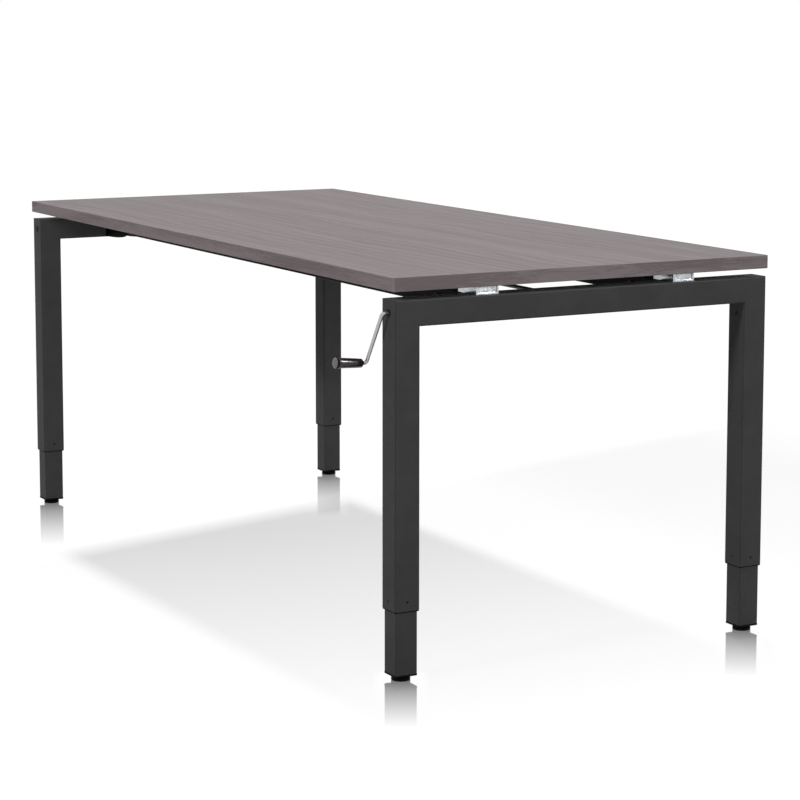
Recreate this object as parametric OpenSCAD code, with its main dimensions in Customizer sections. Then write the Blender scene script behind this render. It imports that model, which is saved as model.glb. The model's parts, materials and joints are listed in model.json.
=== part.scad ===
// Crank-height desk: a laminate top on two telescopic portal frames.
// The desk stands on the XY plane, its length along X and its user at -Y.
// Each leg hangs on a trapezoidal spindle; bevel gears and shafts join the four spindles to one crank.

/* [Tabletop] */
// Length of the tabletop, edge band included
top_length = 1800; // [1300:50:2200]
// Depth of the tabletop, edge band included
top_depth = 800; // [700:50:1000]
// Thickness of the tabletop
top_thick = 25; // [18:1:40]
// Thickness of the edge band
edge_band_thick = 2; // [1:0.5:3]
// Height of the tabletop's upper face as the desk is set
desk_height = 722; // [640:1:840]

/* [Portal frames] */
// Side of the square outer leg tube
tube_w = 50; // [50:1:60]
// Wall of the frame tubes
tube_wall = 2; // [1.5:0.25:2.25]
// Corner radius of the frame tubes
tube_r = 4; // [3:0.5:5]
// Height of the crossbar tube
bar_h = 48; // [46:1:60]
// Length of the outer leg tube
outer_len = 553; // [520:1:600]
// Step from the tabletop's end to the frame
end_inset = 1; // [0:1:40]
// Step from the tabletop's long edge to the frame
side_inset = 3; // [0:1:40]

/* [Telescopic legs] */
// Side of the square inner leg tube
inner_w = 44; // [42:0.5:44]
// Wall of the inner leg tube
inner_wall = 2; // [1.5:0.25:2.5]
// Corner radius of the inner leg tube
inner_r = 3.5; // [2.5:0.5:4]
// Length of the inner leg tube
inner_len = 400; // [360:1:430]
// Travel of the legs that raises the desk
stroke_up = 138; // [60:1:140]
// Height of the guide collar inside the outer tube
collar_h = 40; // [20:1:60]
// Flange of the guide collar under the outer tube
collar_flange = 2; // [1:0.5:3]
// Height of the guide screws above the outer tube's end
guide_screw_z = 16; // [10:1:20]
// Diameter of the guide screws
guide_screw_d = 5; // [4:1:6]

/* [Feet] */
// Diameter of the foot plate
foot_d = 34.6; // [30:0.2:42]
// Height of the foot plate
foot_h = 8.5; // [7:0.5:10]
// Gap between the foot plate and the leg's end cap
foot_gap = 1.5; // [0.5:0.5:4]
// Diameter of the foot's threaded stud
stud_d = 10; // [8:1:12]
// Length of the stud above the foot plate
stud_len = 38; // [30:1:60]
// Rim of the end cap below the inner tube
cap_rim = 3.5; // [2:0.5:5]
// Depth of the end cap's plug
cap_plug = 18; // [12:1:25]

/* [Top supports] */
// Gap between the crossbar and the tabletop
top_gap = 15; // [12:1:25]
// Distance between the two long rails, centre to centre
rail_spacing = 420; // [300:10:500]
// Width of the long rails
rail_w = 40; // [36:1:50]
// Height of the long rails
rail_h = 48; // [44:1:60]
// Wall of the long rails
rail_wall = 1.5; // [1.5:0.25:2.5]
// Thickness of the support brackets
bracket_t = 3; // [2:0.5:4]
// Reach of the bracket's cheeks along the rail
bracket_reach = 17; // [8:1:25]
// Length of the rail hangers
hanger_len = 124; // [90:1:160]
// Depth of the rail hanger below the rail, at the crossbar
hanger_drop = 13; // [6:1:14]
// Thread diameter of the frame bolts
bolt_d = 6; // [5:1:6]

/* [Crank drive] */
// Diameter of the spindles
spindle_d = 16; // [14:1:20]
// Diameter of the spindle's journal
journal_d = 12; // [8:1:12]
// Diameter of the cross shafts
shaft_d = 12; // [11:1:14]
// Diameter of the long shaft
long_shaft_d = 8; // [6:1:10]
// Number of teeth on each bevel gear
gear_teeth = 12; // [12:4:16]
// Pitch radius of the bevel gears
gear_r = 16; // [15:0.5:17]
// Tooth face of the bevel gears
gear_face = 7; // [5:0.5:8]
// Height of the spindle bearings
bearing_h = 24; // [16:1:26]
// Step from the crossbar's underside to the spindle bearing's screw
bearing_drop = 22.5; // [20:0.5:30]
// Length of the shaft bearings
shaft_bearing_l = 14; // [8:1:16]

/* [Crank] */
// Diameter of the crank rod
rod_d = 7; // [6:0.5:9]
// Width across the flats of the crank's hexagon
hex_af = 6; // [5:0.5:6.5]
// Depth of the hexagon in the shaft
hex_depth = 22.7; // [15:0.1:30]
// Reach of the crank's stub in front of the leg
crank_stub = 12; // [10:1:40]
// Length of the crank's arm, square to the drive shaft
crank_drop = 102; // [60:1:130]
// Outward slant of the crank's arm
crank_slant = 9; // [5:1:40]
// Bend radius of the crank rod
crank_bend = 6; // [5:0.5:10]
// Turn of the crank from straight down, in degrees
crank_rest = 25; // [-90:1:90]
// Length of the crank grip, cap included
grip_len = 55; // [45:1:90]
// Upward tilt of the crank's grip, in degrees
grip_tilt = 5; // [0:0.5:8]
// Diameter of the grip at its outer end
grip_d = 19; // [17:1:26]
// Diameter of the grip at the arm
grip_neck_d = 16; // [13:0.5:18]

/* [Hidden] */
$fn = 64;
// fits: press is face to face, running turns or slides
running = 0.1;
slip = 0.05;
// gap between pieces that only face each other
face_gap = 0.3;
// overshoot of a cutting body
over = 1;

// tubes and rails
mitre_over = 10;
rail_corner = 3;
access_r = 6;
collar_bore_gap = 0.1;
collar_edge = 0.5;

// screws: a wood screw, a frame bolt and the bearing's screw
wood_screw_r = 2.2;
wood_screw_bite = 15;
wood_head_r = 4.5;
wood_head_h = 3;
bolt_head_r = 0.85 * bolt_d;
bolt_head_h = 0.5 * bolt_d;
bolt_tip = 5;
bearing_screw_r = 2.5;
bearing_screw_bite = 8;
bearing_head_r = 4.5;
bearing_head_h = 2;
guide_screw_sink = 0.2;
// rows of bolts in the hanger, as shares of its length and of the rail's height
cheek_bolt_xs = [0.35, 0.75];
cheek_bolt_z = 0.35;
flange_bolt_zs = [0.18, 0.52];

// bushes, nuts and the spindle
bush_wall = 3;
bush_rim = 2;
bush_rim_t = 1.5;
crank_bush_wall = 1.1;
crank_bush_rim = 1.4;
crank_bush_rim_t = 1.2;
crank_bush_depth = 9;
socket_wall = 1.4;
nut_flange_h = 6;
nut_plug = 30;
spindle_clear = 5;
spindle_chamfer = 2;
shaft_past_gear = 2;

// end cap and foot
cap_lip = 0.4;
socket_z = 3;
stud_head_h = 2.5;
stud_head_rim = 2.4;
stud_chamfer = 1;
foot_edge = 1;
foot_crown = 2.5;

// signs of a leg along X and Y: front right, back right, front left, back left
FR = [1, -1];
BR = [1, 1];
FL = [-1, -1];
BL = [-1, 1];
LEGS = [FR, BR, FL, BL];

black = [0.23, 0.235, 0.235];
plastic = [0.06, 0.06, 0.065];
zinc = [0.74, 0.76, 0.78];
steel = [0.62, 0.63, 0.65];
pom = [0.85, 0.85, 0.82];
laminate = [0.55, 0.52, 0.52];

// heights
top_under = desk_height - top_thick;
bar_top = top_under - top_gap;
bar_under = bar_top - bar_h;
drive_z = bar_top - bar_h / 2;
outer_end = bar_top - outer_len;
cap_under = foot_h + foot_gap;
inner_end = cap_under + cap_rim;
inner_top = inner_end + inner_len;
bearing_z = bar_under - bearing_drop;
bearing_top = bearing_z + bearing_h / 2;
spindle_end = inner_top - nut_plug - stroke_up - spindle_clear;
rail_under = top_under - rail_h;

// plan
leg_x = top_length / 2 - end_inset - tube_w / 2;
leg_y = top_depth / 2 - side_inset - tube_w / 2;
frame_out_x = leg_x + tube_w / 2;
frame_in_x = leg_x - tube_w / 2;
frame_out_y = leg_y + tube_w / 2;
rail_y = rail_spacing / 2;
rail_end_x = frame_in_x - bracket_t - face_gap;
cavity = tube_w - 2 * tube_wall;
cavity_h = bar_h - 2 * tube_wall;
cavity_r = tube_r - tube_wall;
inner_cavity = inner_w - 2 * inner_wall;
bush_r = long_shaft_d / 2 + bush_wall;
socket_r = hex_r(hex_af + 2 * running) + socket_wall;
crank_bush_r = socket_r + crank_bush_wall;
stud_head_r = stud_d / 2 + stud_head_rim;

// crank, measured in front of the leg; the grip's pin shows between the bend and the grip
grip_neck = 3;
grip_nose = 2.1;
grip_pin_d = 5;
grip_head_d = 9;
grip_head_t = 2;
grip_head_room = 5;
grip_bore_rim = 1.5;
grip_cap_t = 4;
grip_cap_lip = 0.6;
grip_cap_round = 2.5;
// the bends are a hair thicker than the straight stretches, which end inside them
bend_swell = 0.02;
rod_lap = 0.3;
arm_slope = atan2(crank_drop, crank_slant);
bend_run = crank_bend * tan(arm_slope / 2);
grip_run = crank_bend * tan((arm_slope + grip_tilt) / 2);
crank_bend_y = -frame_out_y - crank_stub;
grip_axis_y = crank_bend_y - crank_slant;
grip_start = grip_run + grip_neck;
grip_end_y = grip_axis_y - (grip_start + grip_len) * cos(grip_tilt)
  - (grip_d / 2 - grip_cap_round) * sin(grip_tilt);
// the origin is under the middle of the whole box, crank included
shift_y = -(grip_end_y + top_depth / 2) / 2;

// bevel gears: pitch cones at 45 degrees whose tips meet where the axes cross
tooth_add = 1.2;
tooth_ded = 1.8;
tooth_backlash = 1.0;
tooth_angle = 360 / gear_teeth;
gear_heel = gear_r;
gear_toe_rise = gear_face / sqrt(2);
hub_r = 9;
pinion_hub = 5;
long_gear_hub = 5;

module place() { translate([0, shift_y, 0]) children(); }

module rounded_rect(w, h, r) {
  square([w - 2 * r, h], center = true);
  square([w, h - 2 * r], center = true);
  for (sx = [-1, 1], sy = [-1, 1])
    translate([sx * (w / 2 - r), sy * (h / 2 - r)]) circle(r);
}

module tube_outline(w, h, wall, r) {
  difference() {
    rounded_rect(w, h, r);
    rounded_rect(w - 2 * wall, h - 2 * wall, max(r - wall, 0.5));
  }
}

// a cylinder from y0 towards +Y
module y_cylinder(r, y0, len, sides = $fn) {
  translate([0, y0, 0]) rotate([-90, 0, 0]) cylinder(r = r, h = len, $fn = sides);
}

// a cylinder from x0 towards +X
module x_cylinder(r, x0, len) {
  translate([x0, 0, 0]) rotate([0, 90, 0]) cylinder(r = r, h = len);
}

module at_leg(leg) { translate([leg[0] * leg_x, leg[1] * leg_y, 0]) children(); }

module at_rail_ends() {
  for (sx = [-1, 1], sy = [-1, 1])
    on_x_side(sx) translate([0, sy * rail_y, 0]) children();
}

module on_x_side(sign) {
  if (sign > 0) children();
  else mirror([1, 0, 0]) children();
}

module on_y_side(sign) {
  if (sign > 0) children();
  else mirror([0, 1, 0]) children();
}

// ---------- tabletop ----------

module tabletop() {
  board = [top_length - 2 * edge_band_thick, top_depth - 2 * edge_band_thick, top_thick];
  color(laminate) place() difference() {
    translate([-board[0] / 2, -board[1] / 2, top_under]) cube(board);
    tabletop_screw_places() translate([0, 0, top_under - over])
      cylinder(r = wood_screw_r, h = wood_screw_bite + over, $fn = 32);
  }
}

module edge_band() {
  color(laminate * 0.85) place() for (s = [-1, 1]) {
    translate([-top_length / 2, s * (top_depth - edge_band_thick) / 2 - edge_band_thick / 2, top_under])
      cube([top_length, edge_band_thick, top_thick]);
    translate([s * (top_length - edge_band_thick) / 2 - edge_band_thick / 2,
        -top_depth / 2 + edge_band_thick, top_under])
      cube([edge_band_thick, top_depth - 2 * edge_band_thick, top_thick]);
  }
}

// ---------- portal frames ----------

// wedge beyond the mitre plane at the +Y end of a crossbar; it is what the leg keeps there
module mitre_wedge(y_side) {
  on_y_side(y_side) rotate([90, 0, 90]) translate([0, 0, -tube_w])
    linear_extrude(2 * tube_w) polygon([
      [frame_out_y - tube_w - mitre_over, bar_under - mitre_over * bar_h / tube_w],
      [frame_out_y + mitre_over, bar_top + mitre_over * bar_h / tube_w],
      [frame_out_y + tube_w, bar_top], [frame_out_y + tube_w, bar_under - tube_w]]);
}

module crossbar(side) {
  color(black) place() difference() {
    translate([side * leg_x, 0, drive_z]) rotate([90, 0, 0])
      linear_extrude(2 * frame_out_y, center = true) tube_outline(tube_w, bar_h, tube_wall, tube_r);
    for (s = [-1, 1]) translate([side * leg_x, 0, 0]) mitre_wedge(s);
    on_x_side(side) {
      translate([0, 0, drive_z]) x_cylinder(bush_r, frame_in_x - over, tube_wall + 2 * over);
      for (s = [-1, 1]) translate([0, s * rail_y, 0]) {
        bracket_screw_places() translate([0, 0, bar_top - tube_wall - over])
          cylinder(d = bolt_d, h = tube_wall + 2 * over);
        flange_bolt_places() x_cylinder(bolt_d / 2, frame_in_x - over, tube_wall + 2 * over);
      }
    }
  }
}

module outer_leg(leg) {
  color(black) place() difference() {
    intersection() {
      at_leg(leg) translate([0, 0, outer_end])
        linear_extrude(outer_len) tube_outline(tube_w, tube_w, tube_wall, tube_r);
      union() {
        translate([leg[0] * leg_x, 0, 0]) mitre_wedge(leg[1]);
        at_leg(leg) translate([-tube_w, -tube_w, outer_end - over])
          cube([2 * tube_w, 2 * tube_w, bar_under - outer_end + over]);
      }
    }
    at_leg(leg) {
      guide_screw_places() cylinder(d = guide_screw_d, h = tube_wall + over);
      bearing_screw_place(leg) cylinder(r = bearing_screw_r, h = tube_wall + over);
      if (leg[1] < 0) translate([0, 0, drive_z])
        y_cylinder(crank_bush_r, -tube_w / 2 - over, tube_wall + 2 * over);
    }
  }
}

// ---------- rails, brackets and hangers ----------

module rail(side) {
  color(black) place() difference() {
    translate([0, side * rail_y, rail_under + rail_h / 2]) rotate([90, 0, 90])
      linear_extrude(2 * rail_end_x, center = true) tube_outline(rail_w, rail_h, rail_wall, rail_corner);
    translate([0, side * rail_y, 0]) rail_screw_xs() {
      translate([0, 0, top_under - rail_wall - over])
        cylinder(r = wood_screw_r, h = rail_wall + 2 * over, $fn = 32);
      translate([0, 0, rail_under - over]) cylinder(r = access_r, h = rail_wall + 2 * over);
    }
    for (sx = [-1, 1]) on_x_side(sx) translate([0, side * rail_y, 0])
      side_bolt_places() y_cylinder(bolt_d / 2, -rail_w, 2 * rail_w);
  }
}

module rail_screw_xs() {
  for (k = [-2:2]) translate([k * rail_end_x * 0.4, 0, 0]) children();
}

module tabletop_screw_places() {
  for (s = [-1, 1]) translate([0, s * rail_y, 0]) rail_screw_xs() children();
}

// a tray of zinc-plated plate on the crossbar, whose cheeks clasp the rail
module top_brackets() {
  inside = rail_w;
  outside = rail_w + 2 * bracket_t;
  plate_end = frame_out_x - tube_r + 1;
  color(zinc) place() at_rail_ends() difference() {
    union() {
      translate([frame_in_x, -outside / 2, bar_top]) cube([plate_end - frame_in_x, outside, bracket_t]);
      for (s = [-1, 1])
        translate([frame_in_x - bracket_reach, s * (inside + bracket_t) / 2 - bracket_t / 2, bar_top])
          cube([plate_end - frame_in_x + bracket_reach, bracket_t, top_gap]);
      translate([plate_end - 2 * bracket_t, -inside / 2, bar_top])
        cube([bracket_t, inside, top_gap]);
    }
    bracket_screw_places() translate([0, 0, bar_top - over])
      cylinder(d = bolt_d, h = bracket_t + 2 * over);
  }
}

module bracket_screw_places() {
  for (s = [-1, 1]) translate([leg_x - tube_w / 8, s * rail_w / 4, 0]) children();
}

module flange_bolt_places() {
  for (k = flange_bolt_zs) translate([0, 0, rail_under + rail_h * k]) children();
}

module side_bolt_places() {
  for (k = cheek_bolt_xs)
    translate([frame_in_x - hanger_len * k, 0, rail_under + rail_h * cheek_bolt_z]) children();
}

// an angle bracket under each rail end: a flange on the crossbar and two curved cheeks
module rail_hangers() {
  outside = rail_w + 2 * bracket_t;
  cheek_top = bar_top - 1;
  color(black * 0.7) place() at_rail_ends() difference() {
    union() {
      translate([frame_in_x - bracket_t, -outside / 2, rail_under - hanger_drop])
        cube([bracket_t, outside, cheek_top - rail_under + hanger_drop]);
      for (s = [-1, 1]) translate([0, s * (rail_w + bracket_t) / 2 + bracket_t / 2, 0])
        rotate([90, 0, 0]) linear_extrude(bracket_t) hanger_cheek(cheek_top);
    }
    flange_bolt_places() x_cylinder(bolt_d / 2, frame_in_x - 2 * bracket_t, 3 * bracket_t);
    side_bolt_places() y_cylinder(bolt_d / 2, -rail_w, 2 * rail_w);
  }
}

module hanger_cheek(cheek_top) {
  polygon(concat(
    [[frame_in_x, cheek_top], [frame_in_x - hanger_len, cheek_top]],
    [for (a = [0:6:90]) [frame_in_x - hanger_len * cos(a), rail_under - hanger_drop * sin(a)]]));
}

// pan-head screw whose head's seat is at z = 0 and whose shank points up
module screw_up(r, len, head_r, head_h) {
  cylinder(r = r, h = len, $fn = 32);
  translate([0, 0, -head_h]) difference() {
    cylinder(r = head_r, h = head_h, $fn = 32);
    translate([0, 0, -over]) cylinder(r = r * 0.7, h = head_h * 0.5 + over, $fn = 6);
  }
}

module tabletop_screws() {
  color(steel) place() tabletop_screw_places() translate([0, 0, top_under - rail_wall])
    screw_up(wood_screw_r, rail_wall + wood_screw_bite - over, wood_head_r, wood_head_h);
}

module bracket_screws() {
  color(steel) place() at_rail_ends() bracket_screw_places()
    translate([0, 0, bar_top + bracket_t]) rotate([180, 0, 0])
      screw_up(bolt_d / 2, bracket_t + tube_wall + bolt_tip, bolt_head_r, bolt_head_h);
}

module hanger_bolts() {
  cheeks = rail_w + 2 * bracket_t;
  color(steel) place() at_rail_ends() {
    flange_bolt_places() translate([frame_in_x - bracket_t, 0, 0]) rotate([0, 90, 0])
      screw_up(bolt_d / 2, bracket_t + tube_wall + bolt_tip, bolt_head_r, bolt_head_h);
    side_bolt_places() translate([0, -cheeks / 2, 0]) rotate([-90, 0, 0]) {
      screw_up(bolt_d / 2, cheeks, bolt_head_r, bolt_head_h);
      translate([0, 0, cheeks]) cylinder(r = bolt_d * 0.96, h = bolt_d * 0.8, $fn = 6);
    }
  }
}

// ---------- guides, bearings and bushes ----------

module guide_collars() {
  body_w = cavity - 2 * slip;
  color(plastic) place() for (leg = LEGS) at_leg(leg) difference() {
    union() {
      translate([0, 0, outer_end]) linear_extrude(collar_h) rounded_rect(body_w, body_w, cavity_r);
      translate([0, 0, outer_end - collar_flange])
        linear_extrude(collar_flange)
          rounded_rect(tube_w - 2 * collar_edge, tube_w - 2 * collar_edge, tube_r - collar_edge);
    }
    translate([0, 0, outer_end - collar_flange - over])
      linear_extrude(collar_h + collar_flange + 2 * over)
        rounded_rect(inner_w + 2 * collar_bore_gap, inner_w + 2 * collar_bore_gap,
          inner_r + collar_bore_gap);
  }
}

// each child points outwards through one wall of the outer tube, from the cavity's face
module guide_screw_places() {
  for (a = [0:90:270]) rotate([0, 0, a]) translate([cavity / 2, 0, outer_end + guide_screw_z])
    rotate([0, 90, 0]) children();
}

module guide_screws() {
  color(plastic) place() for (leg = LEGS) at_leg(leg) guide_screw_places()
    translate([0, 0, -slip]) difference() {
      cylinder(d = guide_screw_d, h = tube_wall + slip - guide_screw_sink);
      translate([0, 0, tube_wall / 2]) cylinder(d = guide_screw_d * 0.55, h = tube_wall, $fn = 6);
    }
}

module bearing_screw_place(leg) {
  rotate([0, 0, leg[1] * -90]) translate([cavity / 2, 0, bearing_z]) rotate([0, 90, 0]) children();
}

module spindle_bearings() {
  body_w = cavity - 2 * slip;
  color(pom) place() for (leg = LEGS) at_leg(leg) difference() {
    translate([0, 0, bearing_z - bearing_h / 2])
      linear_extrude(bearing_h) rounded_rect(body_w, body_w, cavity_r);
    translate([0, 0, bearing_z - bearing_h])
      cylinder(r = journal_d / 2 + running, h = 2 * bearing_h);
    bearing_screw_place(leg) translate([0, 0, -bearing_screw_bite])
      cylinder(r = bearing_screw_r, h = 2 * bearing_screw_bite);
  }
}

module bearing_screws() {
  color(steel * 0.4) place() for (leg = LEGS) at_leg(leg) bearing_screw_place(leg)
    translate([0, 0, tube_wall]) rotate([180, 0, 0])
      screw_up(bearing_screw_r, tube_wall + bearing_screw_bite - over,
        bearing_head_r, bearing_head_h);
}

// bearings stand at the quarter points of the crossbar and beside its middle gears
module shaft_bearing_ys() {
  for (s = [-1, 1], y = [gear_r * 2.5, leg_y * 0.8]) translate([0, s * y, 0]) children();
}

module shaft_bearings() {
  color(pom) place() for (side = [-1, 1]) translate([side * leg_x, 0, drive_z])
    shaft_bearing_ys() rotate([90, 0, 0]) linear_extrude(shaft_bearing_l, center = true)
      difference() {
        rounded_rect(cavity - 2 * slip, cavity_h - 2 * slip, cavity_r);
        circle(shaft_d / 2 + running);
      }
}

// a flanged sleeve along +Y whose flange lies in front of y = 0; its lip may be narrower than its bore
module flanged_bush(bore_r, lip_r, body_r, flange_r, flange_t, depth) {
  rotate([-90, 0, 0]) difference() {
    union() {
      cylinder(r = body_r, h = depth);
      translate([0, 0, -flange_t]) cylinder(r = flange_r, h = flange_t);
    }
    cylinder(r = bore_r, h = depth + over);
    translate([0, 0, -flange_t - over]) cylinder(r = lip_r, h = depth + flange_t + 2 * over);
  }
}

module crank_bush() {
  color(plastic) place() translate([leg_x, -frame_out_y, drive_z])
    flanged_bush(socket_r + running, rod_d / 2 + face_gap, crank_bush_r,
      crank_bush_r + crank_bush_rim, crank_bush_rim_t, crank_bush_depth);
}

module hole_plug() {
  color(plastic) place() translate([-leg_x, -frame_out_y, drive_z]) {
    y_cylinder(crank_bush_r, 0, crank_bush_depth / 2);
    y_cylinder(crank_bush_r + crank_bush_rim, -crank_bush_rim_t, crank_bush_rim_t);
  }
}

module long_shaft_bushes() {
  color(plastic) place() for (side = [-1, 1]) on_x_side(side)
    translate([frame_in_x, 0, drive_z]) rotate([0, 0, -90]) flanged_bush(long_shaft_d / 2 + running,
      long_shaft_d / 2 + running, bush_r, bush_r + bush_rim, bush_rim_t, tube_wall);
}

// ---------- bevel gears and shafts ----------

// axis along Z, pitch heel circle at z = 0, cone tip at z = gear_r, hub below
module bevel_gear(bore_r, hub_len, first_slot) {
  a = tooth_add / sqrt(2);
  d = tooth_ded / sqrt(2);
  rim = 1;
  pitch = 2 * PI * gear_heel / gear_teeth;
  slot = (pitch + tooth_backlash) / 2;
  flank = tan(20);
  difference() {
    rotate_extrude() polygon([
      [bore_r, -hub_len], [hub_r, -hub_len], [hub_r, -d - rim - 1], [gear_heel - d - rim, -d - rim],
      [gear_heel + a, a], [gear_heel - gear_toe_rise + a, gear_toe_rise + a],
      [bore_r, gear_toe_rise + a]]);
    for (k = [0:gear_teeth - 1])
      rotate([0, 0, first_slot + k * tooth_angle]) translate([gear_heel, 0, 0])
        rotate([0, -45, 0]) translate([0, 0, -gear_face])
          linear_extrude(3 * gear_face) polygon([
            [-tooth_ded, -slot / 2 + flank * tooth_ded], [-tooth_ded, slot / 2 - flank * tooth_ded],
            [2 * tooth_add, slot / 2 + flank * 2 * tooth_add],
            [2 * tooth_add, -slot / 2 - flank * 2 * tooth_add]]);
  }
}

// pinion on a shaft along Y, its cone tip at the origin and its hub towards the given side of Y
module y_pinion(toward) {
  rotate([-toward * 90, 0, 0]) rotate([180, 0, 0]) translate([0, 0, -gear_r])
    bevel_gear(shaft_d / 2, pinion_hub, 90 + tooth_angle / 2);
}

module cross_gears(side) {
  color(steel) place() translate([side * leg_x, 0, drive_z]) {
    for (s = [-1, 1]) translate([0, s * leg_y, 0]) y_pinion(1);
    y_pinion(-side);
  }
}

// the shaft under the crank has a slimmer front end with the crank's socket
module cross_shaft(side) {
  socket = -frame_out_y + face_gap;
  front = side > 0 ? socket + crank_bush_depth : -leg_y - shaft_d;
  back = leg_y + gear_r + pinion_hub;
  color(steel * 0.9) place() translate([side * leg_x, 0, drive_z]) difference() {
    union() {
      y_cylinder(shaft_d / 2, front, back - front);
      if (side > 0) y_cylinder(socket_r, socket, crank_bush_depth + over);
    }
    if (side > 0) rotate([0, crank_rest, 0])
      y_cylinder(hex_r(hex_af + 2 * running), socket - over, hex_depth + 2 * over, 6);
  }
}
function hex_r(across_flats) = across_flats / sqrt(3);

module long_shaft() {
  reach = leg_x - gear_r + gear_toe_rise + shaft_past_gear;
  color(steel * 0.5) place() translate([0, 0, drive_z])
    x_cylinder(long_shaft_d / 2, -reach, 2 * reach);
}

module long_shaft_gears() {
  color(steel) place() for (side = [-1, 1]) on_x_side(side)
    translate([leg_x - gear_r, 0, drive_z]) rotate([0, 90, 0])
      bevel_gear(long_shaft_d / 2, long_gear_hub, 90);
}

module spindle_gear(leg) {
  color(steel) place() at_leg(leg) translate([0, 0, drive_z - gear_r])
    bevel_gear(journal_d / 2, drive_z - gear_r - bearing_top - running, 90);
}

module spindle(leg) {
  shoulder = bearing_z - bearing_h / 2 - running;
  gear_top = drive_z - gear_r + gear_toe_rise;
  color(steel * 1.1) place() at_leg(leg) rotate_extrude() polygon([
    [0, spindle_end], [spindle_d / 2 - spindle_chamfer, spindle_end],
    [spindle_d / 2, spindle_end + spindle_chamfer],
    [spindle_d / 2, shoulder], [journal_d / 2, shoulder], [journal_d / 2, gear_top], [0, gear_top]]);
}

module spindle_nut(leg) {
  plug_w = inner_cavity - 2 * slip;
  flange_w = cavity - 2 * running;
  color(pom) place() at_leg(leg) difference() {
    union() {
      translate([0, 0, inner_top - nut_plug]) linear_extrude(nut_plug)
        rounded_rect(plug_w, plug_w, inner_r - inner_wall);
      translate([0, 0, inner_top]) linear_extrude(nut_flange_h)
        rounded_rect(flange_w, flange_w, cavity_r);
    }
    translate([0, 0, inner_top - nut_plug - over])
      cylinder(r = spindle_d / 2 + running, h = nut_plug + nut_flange_h + 2 * over);
  }
}

// ---------- inner legs and feet ----------

module inner_leg(leg) {
  color(black) place() at_leg(leg) translate([0, 0, inner_end])
    linear_extrude(inner_len) tube_outline(inner_w, inner_w, inner_wall, inner_r);
}

module end_cap(leg) {
  plug_w = inner_cavity - 2 * slip;
  color(plastic) place() at_leg(leg) difference() {
    union() {
      translate([0, 0, cap_under]) linear_extrude(cap_rim)
        rounded_rect(inner_w + 2 * cap_lip, inner_w + 2 * cap_lip, inner_r + cap_lip);
      translate([0, 0, inner_end]) linear_extrude(cap_plug)
        rounded_rect(plug_w, plug_w, inner_r - inner_wall);
    }
    translate([0, 0, cap_under - over])
      cylinder(r = stud_d / 2 + running, h = cap_rim + cap_plug + 2 * over);
  }
}

// the stud's head turns in a socket of the foot plate, under the plate's lip
module foot_stud(leg) {
  seat = socket_z + running;
  tip = foot_h + stud_len;
  color(steel) place() at_leg(leg) rotate_extrude() polygon([
    [0, seat], [stud_head_r, seat], [stud_head_r, seat + stud_head_h],
    [stud_d / 2, seat + stud_head_h], [stud_d / 2, tip - stud_chamfer],
    [stud_d / 2 - stud_chamfer, tip], [0, tip]]);
}

module foot_plate(leg) {
  r = foot_d / 2;
  lip = socket_z + stud_head_h + 3 * running;
  color(plastic) place() at_leg(leg) rotate_extrude() polygon([
    [0, 0], [r - foot_edge, 0], [r, foot_edge], [r, foot_h * 0.6],
    [r - foot_edge, foot_h - foot_edge], [r - foot_crown, foot_h],
    [stud_d / 2 + running, foot_h], [stud_d / 2 + running, lip],
    [stud_head_r + running, lip], [stud_head_r + running, socket_z], [0, socket_z]]);
}

// ---------- crank ----------

module rod_bend(y, z, turn, sweep) {
  translate([0, y, z]) rotate([turn, 0, 0]) rotate([90, 0, 90])
    rotate_extrude(angle = sweep) translate([crank_bend, 0]) circle(d = rod_d + bend_swell);
}

// on the drive's axis, turned so that the crank's arm hangs along -Z
module at_crank() {
  place() translate([leg_x, 0, drive_z]) rotate([0, crank_rest, 0]) children();
}

// the grip's axis runs towards -Y from the corner where the arm's axis meets it
module at_grip() {
  at_crank() translate([0, grip_axis_y, -crank_drop]) rotate([-grip_tilt, 0, 0]) children();
}

module crank_rod() {
  arm = sqrt(pow(crank_drop, 2) + pow(crank_slant, 2)) - bend_run - grip_run + 2 * rod_lap;
  stub_start = -frame_out_y - face_gap;
  stub_end = crank_bend_y + bend_run - rod_lap;
  pin_end = -grip_start - grip_len + grip_cap_t + grip_head_t;
  color([0.8, 0.8, 0.82]) {
    at_crank() {
      y_cylinder(hex_r(hex_af), stub_start - rod_lap, hex_depth + face_gap + rod_lap, 6);
      y_cylinder(rod_d / 2, stub_end, stub_start - stub_end);
      rod_bend(crank_bend_y + bend_run, -crank_bend, 90, arm_slope);
      translate([0, crank_bend_y, 0]) rotate([90 + arm_slope, 0, 0])
        translate([0, 0, bend_run - rod_lap]) cylinder(d = rod_d, h = arm);
    }
    at_grip() {
      rod_bend(-grip_run, crank_bend, -90, arm_slope + grip_tilt);
      y_cylinder(grip_pin_d / 2, pin_end, rod_lap - grip_run - pin_end);
      y_cylinder(grip_head_d / 2, pin_end, grip_head_t);
    }
  }
}

module crank_grip() {
  wide = grip_d / 2;
  slim = grip_neck_d / 2;
  body = grip_len - grip_cap_t;
  room_r = grip_head_d / 2 + grip_bore_rim;
  color([0.12, 0.1, 0.1]) at_grip() translate([0, -grip_start, 0]) rotate([90, 0, 0])
    rotate_extrude() polygon([
      [grip_pin_d / 2 + running, 0], [slim - grip_nose, 0], [slim - grip_nose / 3, grip_nose / 3],
      [slim, grip_nose], [wide, body], [room_r, body], [room_r, body - grip_head_room],
      [grip_pin_d / 2 + running, body - grip_head_room]]);
}

module grip_cap() {
  wide = grip_d / 2;
  color([0.35, 0.35, 0.36]) at_grip() translate([0, grip_cap_t - grip_len - grip_start, 0])
    rotate([90, 0, 0]) rotate_extrude() polygon([
      [0, 0], [wide, 0], [wide + grip_cap_lip, grip_cap_t * 0.3],
      [wide - grip_cap_lip, grip_cap_t * 0.7], [wide - grip_cap_round, grip_cap_t], [0, grip_cap_t]]);
}

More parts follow.
